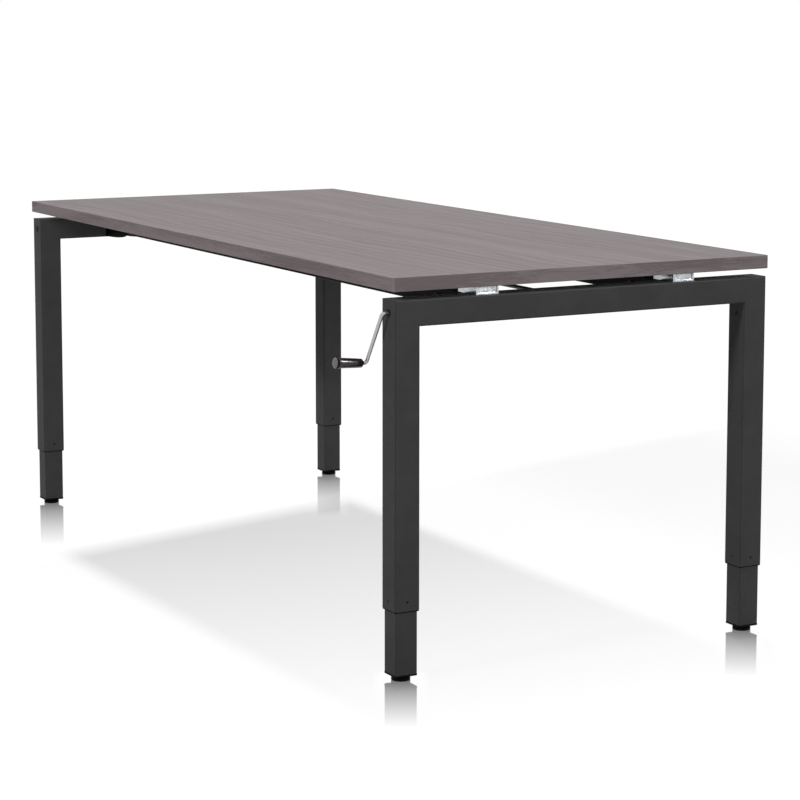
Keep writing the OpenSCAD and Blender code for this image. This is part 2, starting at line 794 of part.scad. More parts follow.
tabletop();
edge_band();
crossbar(1);  // crossbar_right
crossbar(-1);  // crossbar_left
outer_leg(FR);  // outer_leg_fr
outer_leg(BR);  // outer_leg_br
outer_leg(FL);  // outer_leg_fl
outer_leg(BL);  // outer_leg_bl
rail(-1);  // front_rail
rail(1);  // back_rail
top_brackets();
rail_hangers();
tabletop_screws();
bracket_screws();
hanger_bolts();
guide_collars();
guide_screws();
spindle_bearings();
bearing_screws();
shaft_bearings();
crank_bush();
hole_plug();
long_shaft_bushes();
cross_shaft(1);  // cross_shaft_right
cross_shaft(-1);  // cross_shaft_left
cross_gears(1);  // cross_gears_right
cross_gears(-1);  // cross_gears_left
long_shaft();
long_shaft_gears();
crank_rod();
crank_grip();
grip_cap();
spindle(FR);  // spindle_fr
spindle(BR);  // spindle_br
spindle(FL);  // spindle_fl
spindle(BL);  // spindle_bl
spindle_gear(FR);  // spindle_gear_fr
spindle_gear(BR);  // spindle_gear_br
spindle_gear(FL);  // spindle_gear_fl
spindle_gear(BL);  // spindle_gear_bl
spindle_nut(FR);  // spindle_nut_fr
spindle_nut(BR);  // spindle_nut_br
spindle_nut(FL);  // spindle_nut_fl
spindle_nut(BL);  // spindle_nut_bl
inner_leg(FR);  // inner_leg_fr
inner_leg(BR);  // inner_leg_br
inner_leg(FL);  // inner_leg_fl
inner_leg(BL);  // inner_leg_bl
end_cap(FR);  // end_cap_fr
end_cap(BR);  // end_cap_br
end_cap(FL);  // end_cap_fl
end_cap(BL);  // end_cap_bl
foot_stud(FR);  // foot_stud_fr
foot_stud(BR);  // foot_stud_br
foot_stud(FL);  // foot_stud_fl
foot_stud(BL);  // foot_stud_bl
foot_plate(FR);  // foot_plate_fr
foot_plate(BR);  // foot_plate_br
foot_plate(FL);  // foot_plate_fl
foot_plate(BL);  // foot_plate_bl
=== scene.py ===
"""Dresses the crank desk with materials and rounded pieces, and sets it in a studio.

Every length is in metres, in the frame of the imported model. Run it as a script.
"""

import json
import math

import bmesh
import bpy
from bpy.props import FloatProperty, FloatVectorProperty, IntProperty, PointerProperty
from mathutils import Euler, Matrix, Vector


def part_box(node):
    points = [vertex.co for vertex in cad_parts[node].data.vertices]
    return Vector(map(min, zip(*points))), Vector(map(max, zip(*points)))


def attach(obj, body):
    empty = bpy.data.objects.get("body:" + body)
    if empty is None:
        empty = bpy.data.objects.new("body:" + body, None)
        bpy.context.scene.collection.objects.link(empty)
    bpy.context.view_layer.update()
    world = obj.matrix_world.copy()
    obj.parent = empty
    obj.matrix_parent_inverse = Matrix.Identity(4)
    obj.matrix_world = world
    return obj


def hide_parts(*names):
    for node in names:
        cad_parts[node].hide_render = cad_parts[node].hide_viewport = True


bl_info = {
    "name": "Crank Desk",
    "version": (1, 0, 0),
    "blender": (4, 5, 0),
    "location": "View3D > Sidebar > Desk",
    "description": "Board, portals, brackets, feet and hand crank of a height-adjustable desk",
    "category": "Object",
}

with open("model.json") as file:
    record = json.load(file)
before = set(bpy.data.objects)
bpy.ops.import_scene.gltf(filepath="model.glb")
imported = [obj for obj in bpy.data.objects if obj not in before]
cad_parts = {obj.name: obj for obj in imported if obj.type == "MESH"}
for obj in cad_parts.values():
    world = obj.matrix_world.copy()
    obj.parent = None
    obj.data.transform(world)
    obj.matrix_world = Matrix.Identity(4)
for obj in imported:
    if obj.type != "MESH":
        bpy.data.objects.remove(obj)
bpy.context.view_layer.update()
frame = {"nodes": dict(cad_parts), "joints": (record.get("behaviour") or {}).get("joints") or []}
NODES = frame["nodes"]
JOINTS = {joint["name"]: joint for joint in frame["joints"]}
CORNERS = ("fr", "br", "fl", "bl")


# ---------- settings ----------

def size_setting(name, description, default, least=0.0):
    return FloatProperty(name=name, description=description, default=default, min=least,
                         unit="LENGTH", subtype="DISTANCE", precision=4)


def place_setting(name, description, default):
    return FloatVectorProperty(name=name, description=description, default=default, size=3,
                               subtype="TRANSLATION")


def angle_setting(name, description, degrees):
    return FloatProperty(name=name, description=description, default=math.radians(degrees),
                         subtype="ANGLE")


def colour_setting(name, description, default):
    return FloatVectorProperty(name=name, description=description, default=default,
                               subtype="COLOR", size=3, min=0.0, max=1.0)


def share_setting(name, description, default, most=1.0):
    return FloatProperty(name=name, description=description, default=default, min=0.0, max=most,
                         subtype="FACTOR")


def number_setting(name, description, default, least=0.0):
    return FloatProperty(name=name, description=description, default=default, min=least)


class BoardSettings(bpy.types.PropertyGroup):
    corner_round: size_setting("Corner round", "Radius of the board's upright corners", 0.003)
    edge_round: size_setting("Edge round", "Radius along the rim of the edge band", 0.0011)
    light_grain: colour_setting("Light grain", "Pale wood of the laminate", (0.318, 0.284, 0.288))
    dark_grain: colour_setting("Dark grain", "Dark streaks of the laminate", (0.240, 0.213, 0.216))
    band_light: colour_setting("Band light", "Pale wood of the edge band", (0.355, 0.304, 0.311))
    band_dark: colour_setting("Band dark", "Dark streaks of the edge band", (0.257, 0.215, 0.221))
    roughness: share_setting("Roughness", "Roughness of the laminate", 0.7)


class FrameSettings(bpy.types.PropertyGroup):
    coat: colour_setting("Powder coat", "Colour of the coated steel", (0.0865, 0.0865, 0.0865))
    # painted shade: rails and hangers take a near-black version of the powder coat, standing in
    # for the shade under the board
    rail_coat_painted_shade: colour_setting("Rail coat", "Rails and hangers", (0.005, 0.005, 0.0052))
    coat_roughness: share_setting("Coat roughness", "Roughness of the powder coat", 0.5)
    zinc: colour_setting("Zinc", "Colour of the galvanised brackets", (0.53, 0.55, 0.58))
    edge_break: size_setting("Edge break", "Rounding on the edges of plates", 0.0004)
    bracket_break: size_setting("Bracket break", "Rounding on the brackets' edges", 0.0006)
    bush_break: size_setting("Bush break", "Rounding on the bush and the plug", 0.00032)


class FittingSettings(bpy.types.PropertyGroup):
    zinc_screws: colour_setting("Zinc screws", "Zinc-plated screws", (0.62, 0.63, 0.64))
    black_screws: colour_setting("Black screws", "Blackened screws", (0.006, 0.006, 0.0062))
    black_plastic: colour_setting("Black plastic", "Caps, collars and foot plates",
                                  (0.004, 0.004, 0.0042))
    bush_plastic: colour_setting("Bush plastic", "Crank bush and hole plug",
                                 (0.016, 0.016, 0.0165))
    white_plastic: colour_setting("White plastic", "Bearings and spindle nuts", (0.74, 0.73, 0.69))
    steel: colour_setting("Steel", "Gears, short shafts, spindles and studs", (0.56, 0.57, 0.58))
    dark_steel: colour_setting("Dark steel", "Long shaft and the grip's pin",
                               (0.045, 0.045, 0.047))
    chrome: colour_setting("Chrome", "Plating of the crank rod", (0.47, 0.47, 0.475))


class CrankSettings(bpy.types.PropertyGroup):
    rod: size_setting("Rod", "Diameter of the crank rod", 0.007)
    hexagon: size_setting("Hexagon", "Width across the flats of the drive end", 0.006)
    stub: size_setting("Stub", "Reach of the rod in front of the leg before it bends", 0.012)
    bend: size_setting("Bend", "Radius of the rod's bends", 0.006)
    pin: size_setting("Pin", "Diameter of the pin that the grip turns on", 0.005)
    head: size_setting("Pin head", "Thickness of the pin's head inside the grip", 0.002)
    head_across: size_setting("Pin head across", "Diameter of the pin's head", 0.009)
    # the groove is modelled; its black finish is painted shade that darkens the recess
    groove: size_setting("Groove", "Width of the dark groove before the end cap", 0.0021)
    grip: size_setting("Grip", "Diameter of the grip at its outer end", 0.019)
    grip_neck: size_setting("Grip neck", "Diameter of the grip at the arm", 0.016)
    gap: size_setting("Gap", "Clearance between pieces that turn in each other", 0.0003)
    grip_colour: colour_setting("Grip colour", "Moulded plastic of the grip",
                                (0.020, 0.012, 0.011))
    cap_colour: colour_setting("Cap colour", "Plastic of the grip's end cap", (0.17, 0.17, 0.175))
    sides: IntProperty(name="Sides", description="Facets round the rod and grip", default=48,
                       min=12)


class StageSettings(bpy.types.PropertyGroup):
    camera_place: place_setting("Camera place", "Where the camera stands",
                                (4.6326, -2.3788, 1.2125))
    camera_turn: angle_setting("Camera turn", "Camera's turn about the upright", 61.78)
    camera_dip: angle_setting("Camera dip", "Camera's tilt below the horizon", 7.007)
    lens: number_setting("Lens", "Focal length in millimetres", 111.31, 10.0)
    shift_x: number_setting("Shift across", "Lens shift to the side", 0.0183, -1.0)
    shift_y: number_setting("Shift up", "Lens shift upwards", -0.13, -1.0)
    sky: share_setting("Sky light", "Soft light from all round", 0.12, 4.0)
    overhead: number_setting("Overhead light", "Light from the ceiling, in W per m2", 2.38)
    overhead_from: place_setting("Overhead from", "Direction of the ceiling light",
                                 (-1.21, 0.51, 2.6))
    overhead_spread: angle_setting("Overhead spread", "How wide the ceiling light looks", 5.0)
    front: number_setting("Front light", "Light from the front, in W per m2", 0.80)
    front_from: place_setting("Front from", "Direction of the front light", (0.15, -1.0, 0.6))
    front_spread: angle_setting("Front spread", "How wide the front light looks", 8.0)
    side: number_setting("Side light", "Light from the crank's side, in W per m2", 0.80)
    side_from: place_setting("Side from", "Direction of the side light", (1.0, -0.2, 0.1))
    side_spread: angle_setting("Side spread", "How wide the side light looks", 18.0)
    gleam: number_setting("Gleam", "Softbox that only shines on glossy pieces, in W", 105.0)
    gleam_from: place_setting("Gleam from", "Where the softbox hangs", (2.6, 1.05, 2.2))
    gleam_size: size_setting("Gleam size", "Side of the softbox", 1.0)
    floor_albedo: share_setting("Floor", "How much light the floor throws back", 0.35)
    floor_glow: share_setting("Floor glow", "Brightness of the floor outside the shadow", 1.03,
                              2.0)
    shade_left: share_setting("Shade at the left", "Depth of the shadow at the left end", 0.40)
    shade_right: share_setting("Shade at the right", "Depth of the shadow at the right end", 0.02)
    shade_from: size_setting("Shade from", "Where the shade is deepest", -0.35, -5.0)
    shade_to: size_setting("Shade to", "Where the shade is faintest", 1.2, -5.0)
    shade_start: size_setting("Shade start", "Left edge of the shadow on the floor", -0.48, -5.0)
    shade_slant: number_setting("Shade slant", "Slant of the shadow's left edge", 0.29)
    shade_blur: size_setting("Shade blur", "Softness of the shadow's left edge", 0.06)
    floor_gloss: share_setting("Floor gloss", "How strongly the floor mirrors the feet", 0.85)
    gloss_blur: share_setting("Gloss blur", "Roughness of the mirroring strips", 0.07)
    gloss_reach: size_setting("Gloss reach", "How far before the nearest foot the floor mirrors",
                              0.29)
    gloss_growth: number_setting("Gloss growth", "Power by which farther strips lengthen", 1.7)
    gloss_width: size_setting("Gloss width", "Half the width of each mirroring strip", 0.04)
    gloss_fade: number_setting("Gloss fade", "Where a strip ends beside its width, in widths", 1.3)
    glance_low: share_setting("Glance low", "Slant of sight at which the floor starts to mirror",
                              0.58)
    glance_high: share_setting("Glance high", "Slant of sight at which it mirrors fully", 0.7)


# ---------- node helpers ----------

WHITE = (1.0, 1.0, 1.0, 1.0)
UNSCALED = (1.0, 1.0, 1.0)


class NodeSheet:
    """A node tree that is filled from left to right."""

    def __init__(self, tree):
        self.tree = tree
        self.column = 0

    def add(self, kind, inputs=None, **fields):
        node = self.tree.nodes.new(kind)
        self.column += 1
        node.location = (200 * self.column, -140 * (self.column % 3))
        for name, value in fields.items():
            setattr(node, name, value)
        for name, value in (inputs or {}).items():
            self.feed(node.inputs[name], value)
        return node

    def feed(self, socket, value):
        if isinstance(value, bpy.types.NodeSocket):
            self.tree.links.new(value, socket)
        else:
            socket.default_value = value

    def math(self, operation, a, b=0.0, clamp=False):
        node = self.add("ShaderNodeMath", operation=operation, use_clamp=clamp)
        self.feed(node.inputs[0], a)
        self.feed(node.inputs[1], b)
        return node.outputs[0]

    def plus(self, value, added, weight):
        """A value with its share of another one added."""
        return self.math("ADD", value, self.math("MULTIPLY", added, weight))

    def mix(self, factor, a, b, blend="MIX"):
        node = self.add("ShaderNodeMix", data_type="RGBA", blend_type=blend)
        self.feed(node.inputs["Factor"], factor)
        self.feed(node.inputs[6], a)
        self.feed(node.inputs[7], b)
        return node.outputs[2]

    def span(self, value, from_low, from_high, to_low=0.0, to_high=1.0):
        node = self.add("ShaderNodeMapRange", {"Value": value, "From Min": from_low,
                                               "From Max": from_high, "To Min": to_low,
                                               "To Max": to_high})
        return node.outputs[0]

    def noise(self, vector, scale, detail, roughness=0.5):
        node = self.add("ShaderNodeTexNoise", {"Vector": vector, "Scale": scale, "Detail": detail,
                                               "Roughness": roughness})
        return node.outputs["Fac"]

    def stretched(self, vector, scale, turn=(0.0, 0.0, 0.0)):
        node = self.add("ShaderNodeMapping", {"Vector": vector, "Scale": scale, "Rotation": turn})
        return node.outputs[0]

    def axes(self, vector):
        return self.add("ShaderNodeSeparateXYZ", {0: vector}).outputs


def rgba(colour, share=1.0):
    """A colour for a socket, darker or lighter by a share but no brighter than white."""
    return (*(min(share * channel, 1.0) for channel in colour), 1.0)


def new_group(name, inputs, outputs):
    """A shader node group with named sockets; returns its sheet, its inputs and its outputs."""
    tree = bpy.data.node_groups.new(name, "ShaderNodeTree")
    for socket_name, kind, default in inputs:
        socket = tree.interface.new_socket(socket_name, in_out="INPUT", socket_type=kind)
        if default is not None:
            socket.default_value = default
    for socket_name, kind in outputs:
        tree.interface.new_socket(socket_name, in_out="OUTPUT", socket_type=kind)
    sheet = NodeSheet(tree)
    source = sheet.add("NodeGroupInput").outputs
    result = sheet.add("NodeGroupOutput")
    return sheet, source, result.inputs


def wood_grain_group():
    """Streaks, drawn-out rings and pores along the first axis of the vector."""
    sheet, source, result = new_group(
        "Wood grain",
        [("Vector", "NodeSocketVector", None),
         ("Light", "NodeSocketColor", (0.3, 0.27, 0.27, 1.0)),
         ("Dark", "NodeSocketColor", (0.2, 0.18, 0.18, 1.0)),
         ("Contrast", "NodeSocketFloat", 0.5)],
        [("Color", "NodeSocketColor"), ("Height", "NodeSocketFloat"),
         ("Sheen", "NodeSocketFloat")])
    along = source["Vector"]
    wander = sheet.noise(sheet.stretched(along, (0.9, 3.0, 3.0)), scale=1.6, detail=2.0)
    drift = sheet.add("ShaderNodeCombineXYZ", {"Y": sheet.math("MULTIPLY", wander, 0.12),
                                               "Z": sheet.math("MULTIPLY", wander, 0.05)})
    bent = sheet.add("ShaderNodeVectorMath", {0: along, 1: drift.outputs[0]},
                     operation="ADD").outputs[0]
    wide = sheet.noise(sheet.stretched(bent, (0.55, 13.0, 13.0)), scale=2.0, detail=4.0,
                       roughness=0.55)
    fine = sheet.noise(sheet.stretched(bent, (2.4, 150.0, 150.0)), scale=2.2, detail=5.0,
                       roughness=0.62)
    hair = sheet.noise(sheet.stretched(bent, (6.0, 620.0, 620.0)), scale=2.0, detail=2.0,
                       roughness=0.6)
    rings = sheet.add("ShaderNodeTexWave",
                      {"Vector": sheet.stretched(bent, (0.16, 4.2, 4.2)), "Scale": 2.6,
                       "Distortion": 5.5, "Detail": 3.0, "Detail Scale": 1.4,
                       "Detail Roughness": 0.6},
                      wave_type="BANDS", bands_direction="Y", wave_profile="SAW").outputs["Fac"]
    tone = 0.0
    for streaks, weight in ((wide, 0.42), (fine, 0.36), (rings, 0.13), (hair, 0.20)):
        tone = sheet.plus(tone, streaks, weight)
    swing = sheet.math("SUBTRACT", sheet.span(tone, 0.40, 0.72), 0.5)
    shade = sheet.math("ADD", sheet.math("MULTIPLY", swing, source["Contrast"]), 0.55, clamp=True)
    dots = sheet.noise(sheet.stretched(bent, (14.0, 900.0, 900.0)), scale=1.3, detail=1.0)
    pores = sheet.span(dots, 0.60, 0.72)
    colour = sheet.mix(shade, source["Dark"], source["Light"])
    pore_dark = sheet.mix(1.0, colour, (0.74, 0.72, 0.72, 1.0), "MULTIPLY")
    colour = sheet.mix(sheet.math("MULTIPLY", pores, 0.45), colour, pore_dark)
    sheet.feed(result["Color"], colour)
    sheet.feed(result["Height"], sheet.math("SUBTRACT", sheet.math("MULTIPLY", fine, 0.4), pores))
    sheet.feed(result["Sheen"], sheet.plus(sheet.math("MULTIPLY", hair, 0.10), pores, 0.12))
    return sheet.tree


def fine_skin_group():
    """The pebbled skin of powder coat and moulded plastic, with faint handling marks."""
    sheet, source, result = new_group(
        "Fine skin",
        [("Vector", "NodeSocketVector", None), ("Grain", "NodeSocketFloat", 900.0),
         ("Roughness", "NodeSocketFloat", 0.45), ("Spread", "NodeSocketFloat", 0.06)],
        [("Height", "NodeSocketFloat"), ("Roughness", "NodeSocketFloat"),
         ("Cloud", "NodeSocketFloat")])
    pebble = sheet.noise(source["Vector"], source["Grain"], detail=2.0)
    cloud = sheet.noise(source["Vector"], scale=14.0, detail=4.0, roughness=0.6)
    upright = sheet.stretched(source["Vector"], (60.0, 60.0, 9.0))
    marks = sheet.span(sheet.noise(upright, scale=3.0, detail=3.0, roughness=0.55), 0.58, 0.75)
    rough = sheet.plus(source["Roughness"], sheet.math("SUBTRACT", cloud, 0.5), source["Spread"])
    rough = sheet.plus(rough, marks, sheet.math("MULTIPLY", source["Spread"], 0.8))
    sheet.feed(result["Height"], pebble)
    sheet.feed(result["Roughness"], rough)
    sheet.feed(result["Cloud"], sheet.span(cloud, 0.3, 0.7))
    return sheet.tree


def drawn_lines_group():
    """Fine turned or drawn lines across the first axis of the vector."""
    sheet, source, result = new_group(
        "Drawn lines",
        [("Vector", "NodeSocketVector", None), ("Lines", "NodeSocketFloat", 1400.0),
         ("Roughness", "NodeSocketFloat", 0.3)],
        [("Height", "NodeSocketFloat"), ("Roughness", "NodeSocketFloat"),
         ("Tint", "NodeSocketFloat")])
    across = sheet.stretched(source["Vector"], (1.0, 0.02, 0.02))
    lines = sheet.noise(across, source["Lines"], detail=2.0, roughness=0.6)
    stain = sheet.noise(source["Vector"], scale=45.0, detail=3.0, roughness=0.6)
    sheet.feed(result["Height"], lines)
    sheet.feed(result["Roughness"], sheet.plus(source["Roughness"], stain, 0.12))
    sheet.feed(result["Tint"], sheet.plus(sheet.math("MULTIPLY", lines, 0.5), stain, 0.5))
    return sheet.tree


def corner_group():
    """A mask of the rounded corners, where the surface faces between the desk's own axes."""
    sheet, source, result = new_group(
        "Rounded corners", [("Normal", "NodeSocketVector", None)], [("Mask", "NodeSocketFloat")])
    facing = sheet.add("ShaderNodeVectorMath", {0: source["Normal"]}, operation="ABSOLUTE")
    axes = sheet.axes(facing.outputs[0])
    squarest = sheet.math("MAXIMUM", sheet.math("MAXIMUM", axes["X"], axes["Y"]), axes["Z"])
    sheet.feed(result["Mask"], sheet.span(squarest, 0.985, 0.80))
    return sheet.tree


GROUP_MAKERS = {"Wood grain": wood_grain_group, "Fine skin": fine_skin_group,
                "Drawn lines": drawn_lines_group, "Rounded corners": corner_group}
GROUPS = {}


def grouped(sheet, name, inputs):
    """Places a group, built once, with this material's own values; returns its outputs."""
    if name not in GROUPS:
        GROUPS[name] = GROUP_MAKERS[name]()
    return sheet.add("ShaderNodeGroup", inputs, node_tree=GROUPS[name]).outputs


def start_material(name):
    """A material with its sheet, its Principled shader and its Object coordinates."""
    material = bpy.data.materials.new(name)
    material.use_nodes = True
    material.node_tree.nodes.clear()
    sheet = NodeSheet(material.node_tree)
    place = sheet.add("ShaderNodeTexCoord").outputs["Object"]
    surface = sheet.add("ShaderNodeBsdfPrincipled")
    sheet.add("ShaderNodeOutputMaterial", {"Surface": surface.outputs["BSDF"]})
    return material, sheet, surface, place


def bump(sheet, surface, height, depth, strength):
    node = sheet.add("ShaderNodeBump", {"Height": height, "Distance": depth, "Strength": strength})
    sheet.feed(surface.inputs["Normal"], node.outputs[0])


# ---------- materials ----------

QUARTER = math.pi / 2
MATT = 0.02  # specular level of surfaces that hardly reflect


def wood_material(name, light, dark, contrast, roughness, turn=0.0):
    """Grey wood-grain laminate whose grain runs along X, or along Y with a quarter turn."""
    material, sheet, surface, place = start_material(name)
    grain = grouped(sheet, "Wood grain",
                    {"Vector": sheet.stretched(place, UNSCALED, (0.0, 0.0, turn)),
                     "Light": rgba(light), "Dark": rgba(dark), "Contrast": contrast})
    usual_sheen = 0.08
    sheet.feed(surface.inputs["Base Color"], grain["Color"])
    sheet.feed(surface.inputs["Roughness"],
               sheet.math("ADD", grain["Sheen"], roughness - usual_sheen))
    surface.inputs["Specular IOR Level"].default_value = MATT
    bump(sheet, surface, grain["Height"], depth=0.00004, strength=0.5)
    return material


def skin_material(name, colour, roughness, grain, depth, level=0.5, coat=0.0, spread=0.06):
    """Moulded plastic or blackened steel with a pebbled skin."""
    material, sheet, surface, place = start_material(name)
    skin = grouped(sheet, "Fine skin", {"Vector": place, "Grain": grain, "Roughness": roughness,
                                        "Spread": spread})
    sheet.feed(surface.inputs["Base Color"],
               sheet.mix(skin["Cloud"], rgba(colour, 0.86), rgba(colour, 1.12)))
    sheet.feed(surface.inputs["Roughness"], skin["Roughness"])
    surface.inputs["Specular IOR Level"].default_value = level
    surface.inputs["Coat Weight"].default_value = coat
    surface.inputs["Coat Roughness"].default_value = 0.08
    bump(sheet, surface, skin["Height"], depth, strength=0.6)
    return material


def coat_material(name, colour, roughness, welded):
    """Powder coat with painted shade in upright corners, a painted highlight on upper corners and
    a painted sheen where it faces up.

    A welded coat also shows the ground weld of each mitre.
    """
    material, sheet, surface, place = start_material(name)
    skin = grouped(sheet, "Fine skin", {"Vector": place, "Grain": 1100.0, "Roughness": roughness,
                                        "Spread": 0.08})
    normal = sheet.add("ShaderNodeNewGeometry").outputs["Normal"]
    corner = grouped(sheet, "Rounded corners", {"Normal": normal})["Mask"]
    upward = sheet.axes(normal)["Z"]
    base = sheet.mix(skin["Cloud"], rgba(colour, 0.90), rgba(colour, 1.08))
    # painted shade and painted highlight: rounded corners turn near-black where they stand upright
    # and pale grey where they face up
    painted_corner_shade, painted_corner_highlight = rgba((0.012, 0.012, 0.012)), rgba((0.2, 0.2, 0.2))
    painted_corner_light = sheet.mix(sheet.span(upward, 0.2, 0.5), painted_corner_shade, painted_corner_highlight)
    base = sheet.mix(sheet.math("MULTIPLY", corner, 0.42), base, painted_corner_light)
    # painted sheen: faces that look up are made 2.4 times paler, standing in for light they don't
    # get under the board
    base = sheet.mix(sheet.span(upward, 0.9, 0.99), base, rgba(colour, 2.4))
    height, rough = skin["Height"], skin["Roughness"]
    if welded:
        weld = weld_mask(sheet, place)
        height = sheet.plus(height, weld, 3.0)
        rough = sheet.plus(rough, weld, 0.05)
    sheet.feed(surface.inputs["Base Color"], base)
    sheet.feed(surface.inputs["Roughness"], rough)
    surface.inputs["Specular IOR Level"].default_value = MATT
    bump(sheet, surface, height, depth=0.00006, strength=0.55)
    return material


def weld_mask(sheet, place):
    """A thin wavering line along the mitre between crossbar and leg."""
    low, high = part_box("crossbar_right")
    leg_low, leg_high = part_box("outer_leg_fr")
    tube = leg_high.y - leg_low.y
    middle = (low.y + high.y) / 2
    axes = sheet.axes(place)
    along = sheet.math("ABSOLUTE", sheet.math("SUBTRACT", axes["Y"], middle))
    climb = sheet.math("DIVIDE", sheet.math("SUBTRACT", axes["Z"], low.z), high.z - low.z)
    outward = sheet.math("DIVIDE", sheet.math("SUBTRACT", along, high.y - middle - tube), tube)
    off_line = sheet.math("ABSOLUTE", sheet.math("SUBTRACT", climb, outward))
    waver = sheet.noise(place, scale=160.0, detail=2.0)
    return sheet.span(sheet.plus(off_line, waver, 0.05), 0.03, 0.09, 1.0, 0.0)


def zinc_material(name, colour, spangle):
    """Galvanised sheet with the flower pattern of hot-dip zinc, and a painted highlight on its
    rounded edges.
    """
    material, sheet, surface, place = start_material(name)
    cells = sheet.add("ShaderNodeTexVoronoi",
                      {"Vector": place, "Scale": spangle, "Randomness": 1.0})
    tone = sheet.add("ShaderNodeSeparateColor", {0: cells.outputs["Color"]}).outputs[0]
    stain = sheet.noise(place, scale=60.0, detail=4.0, roughness=0.6)
    shade = sheet.plus(sheet.math("MULTIPLY", tone, 0.35), stain, 0.65)
    normal = sheet.add("ShaderNodeNewGeometry").outputs["Normal"]
    edge = grouped(sheet, "Rounded corners", {"Normal": normal})["Mask"]
    base = sheet.mix(sheet.span(shade, 0.25, 0.8), rgba(colour, 0.62), rgba(colour, 1.22))
    # painted highlight: the rounded edges are mixed towards near white, standing in for light
    # catching them
    painted_edge_highlight = rgba((0.85, 0.86, 0.87))
    sheet.feed(surface.inputs["Base Color"],
               sheet.mix(sheet.math("MULTIPLY", edge, 0.8), base, painted_edge_highlight))
    surface.inputs["Metallic"].default_value = 0.9
    sheet.feed(surface.inputs["Roughness"], sheet.span(shade, 0.2, 0.8, 0.14, 0.30))
    bump(sheet, surface, shade, depth=0.00008, strength=0.4)
    return material


def steel_material(name, colour, roughness, lines=1400.0, turn=(0.0, 0.0, 0.0)):
    """Turned or drawn steel with fine lines across X, or across the axis turned onto X."""
    material, sheet, surface, place = start_material(name)
    usual_stain = 0.06
    marks = grouped(sheet, "Drawn lines", {"Vector": sheet.stretched(place, UNSCALED, turn),
                                           "Lines": lines, "Roughness": roughness - usual_stain})
    sheet.feed(surface.inputs["Base Color"],
               sheet.mix(marks["Tint"], rgba(colour, 0.85), rgba(colour)))
    sheet.feed(surface.inputs["Roughness"], marks["Roughness"])
    surface.inputs["Metallic"].default_value = 1.0
    bump(sheet, surface, marks["Height"], depth=0.00002, strength=0.4)
    return material


def chrome_material(name, colour):
    """Satin plating with faint smears from hands."""
    material, sheet, surface, place = start_material(name)
    smear = sheet.noise(place, scale=55.0, detail=4.0, roughness=0.6)
    sheet.feed(surface.inputs["Base Color"], sheet.mix(smear, rgba(colour, 0.93), rgba(colour)))
    sheet.feed(surface.inputs["Roughness"], sheet.span(smear, 0.3, 0.75, 0.26, 0.40))
    surface.inputs["Metallic"].default_value = 1.0
    polish = sheet.noise(place, scale=700.0, detail=2.0)
    bump(sheet, surface, polish, depth=0.000004, strength=0.1)
    return material


MATERIALS = {}


def make_materials(board, portal, fittings, crank):
    """Mixes every finish once, under the short name that the pieces ask for."""
    MATERIALS.update({
        "laminate": wood_material("Grey wood laminate", board.light_grain, board.dark_grain,
                                  contrast=1.15, roughness=board.roughness),
        "band_long": wood_material("Edge band along the desk", board.band_light, board.band_dark,
                                   contrast=2.2, roughness=board.roughness),
        "band_short": wood_material("Edge band across the desk", board.band_light,
                                    board.band_dark, contrast=3.2, roughness=board.roughness,
                                    turn=QUARTER),
        "mitred_coat": coat_material("Black powder coat", portal.coat, portal.coat_roughness,
                                     welded=True),
        "coat": coat_material("Black powder coat on the legs", portal.coat,
                              portal.coat_roughness, welded=False),
        # painted shade: the same powder coat made near-black for the parts under the board
        "rail_coat_painted_shade": coat_material("Powder coat darkened as painted shade under the board", portal.rail_coat_painted_shade,
                                   portal.coat_roughness, welded=False),
        "zinc": zinc_material("Galvanised sheet", portal.zinc, spangle=190.0),
        "zinc_screws": steel_material("Zinc-plated screws", fittings.zinc_screws,
                                      roughness=0.32, lines=2200.0),
        "black_screws": skin_material("Blackened screws", fittings.black_screws, roughness=0.42,
                                      grain=1600.0, depth=0.00002, level=0.12),
        "black_plastic": skin_material("Black moulded plastic", fittings.black_plastic,
                                       roughness=0.55, grain=1500.0, depth=0.00005, level=0.04),
        "bush_plastic": skin_material("Bush plastic", fittings.bush_plastic, roughness=0.5,
                                      grain=1500.0, depth=0.00005, level=0.05),
        "foot_plastic": skin_material("Foot plastic", fittings.black_plastic, roughness=0.50,
                                      grain=1300.0, depth=0.00006, level=0.03),
        "white_plastic": skin_material("Machined acetal", fittings.white_plastic, roughness=0.38,
                                       grain=500.0, depth=0.00003),
        "steel": steel_material("Turned steel", fittings.steel, roughness=0.30,
                                turn=(0.0, QUARTER, 0.0)),
        "shaft_steel": steel_material("Drawn shaft steel", fittings.steel, roughness=0.28,
                                      turn=(0.0, 0.0, QUARTER)),
        "dark_steel": steel_material("Blackened bar", fittings.dark_steel, roughness=0.45),
        "chrome": chrome_material("Satin chrome plating", fittings.chrome),
        "grip_plastic": skin_material("Glossy grip", crank.grip_colour, roughness=0.24,
                                      grain=60.0, depth=0.00003, level=0.35, coat=0.3,
                                      spread=0.04),
        "cap_plastic": skin_material("Grey cap plastic", crank.cap_colour, roughness=0.42,
                                     grain=1400.0, depth=0.00003),
    })


# ---------- mesh helpers ----------

SAME_POINT = 1e-6  # points of a mesh that are closer are one point
SEAM = 1e-5  # what a full spin may leave open where it closes
SLIVER = 2e-5  # shorter sides are leftovers of a bevel
FLAT = math.radians(1.0)  # faces that meet at less are one face
CRISP = math.radians(35.0)  # edges that turn by more are rounded
SHARP = math.radians(32.0)  # edges that turn by more aren't shaded smooth


def paint(node_names, material_name):
    """Gives CAD nodes their finish, in their own slots."""
    for name in node_names:
        slots = NODES[name].data.materials
        if not slots:
            slots.append(None)
        for index in range(len(slots)):
            slots[index] = MATERIALS[material_name]


def per_leg(prefix):
    return [f"{prefix}_{corner}" for corner in CORNERS]


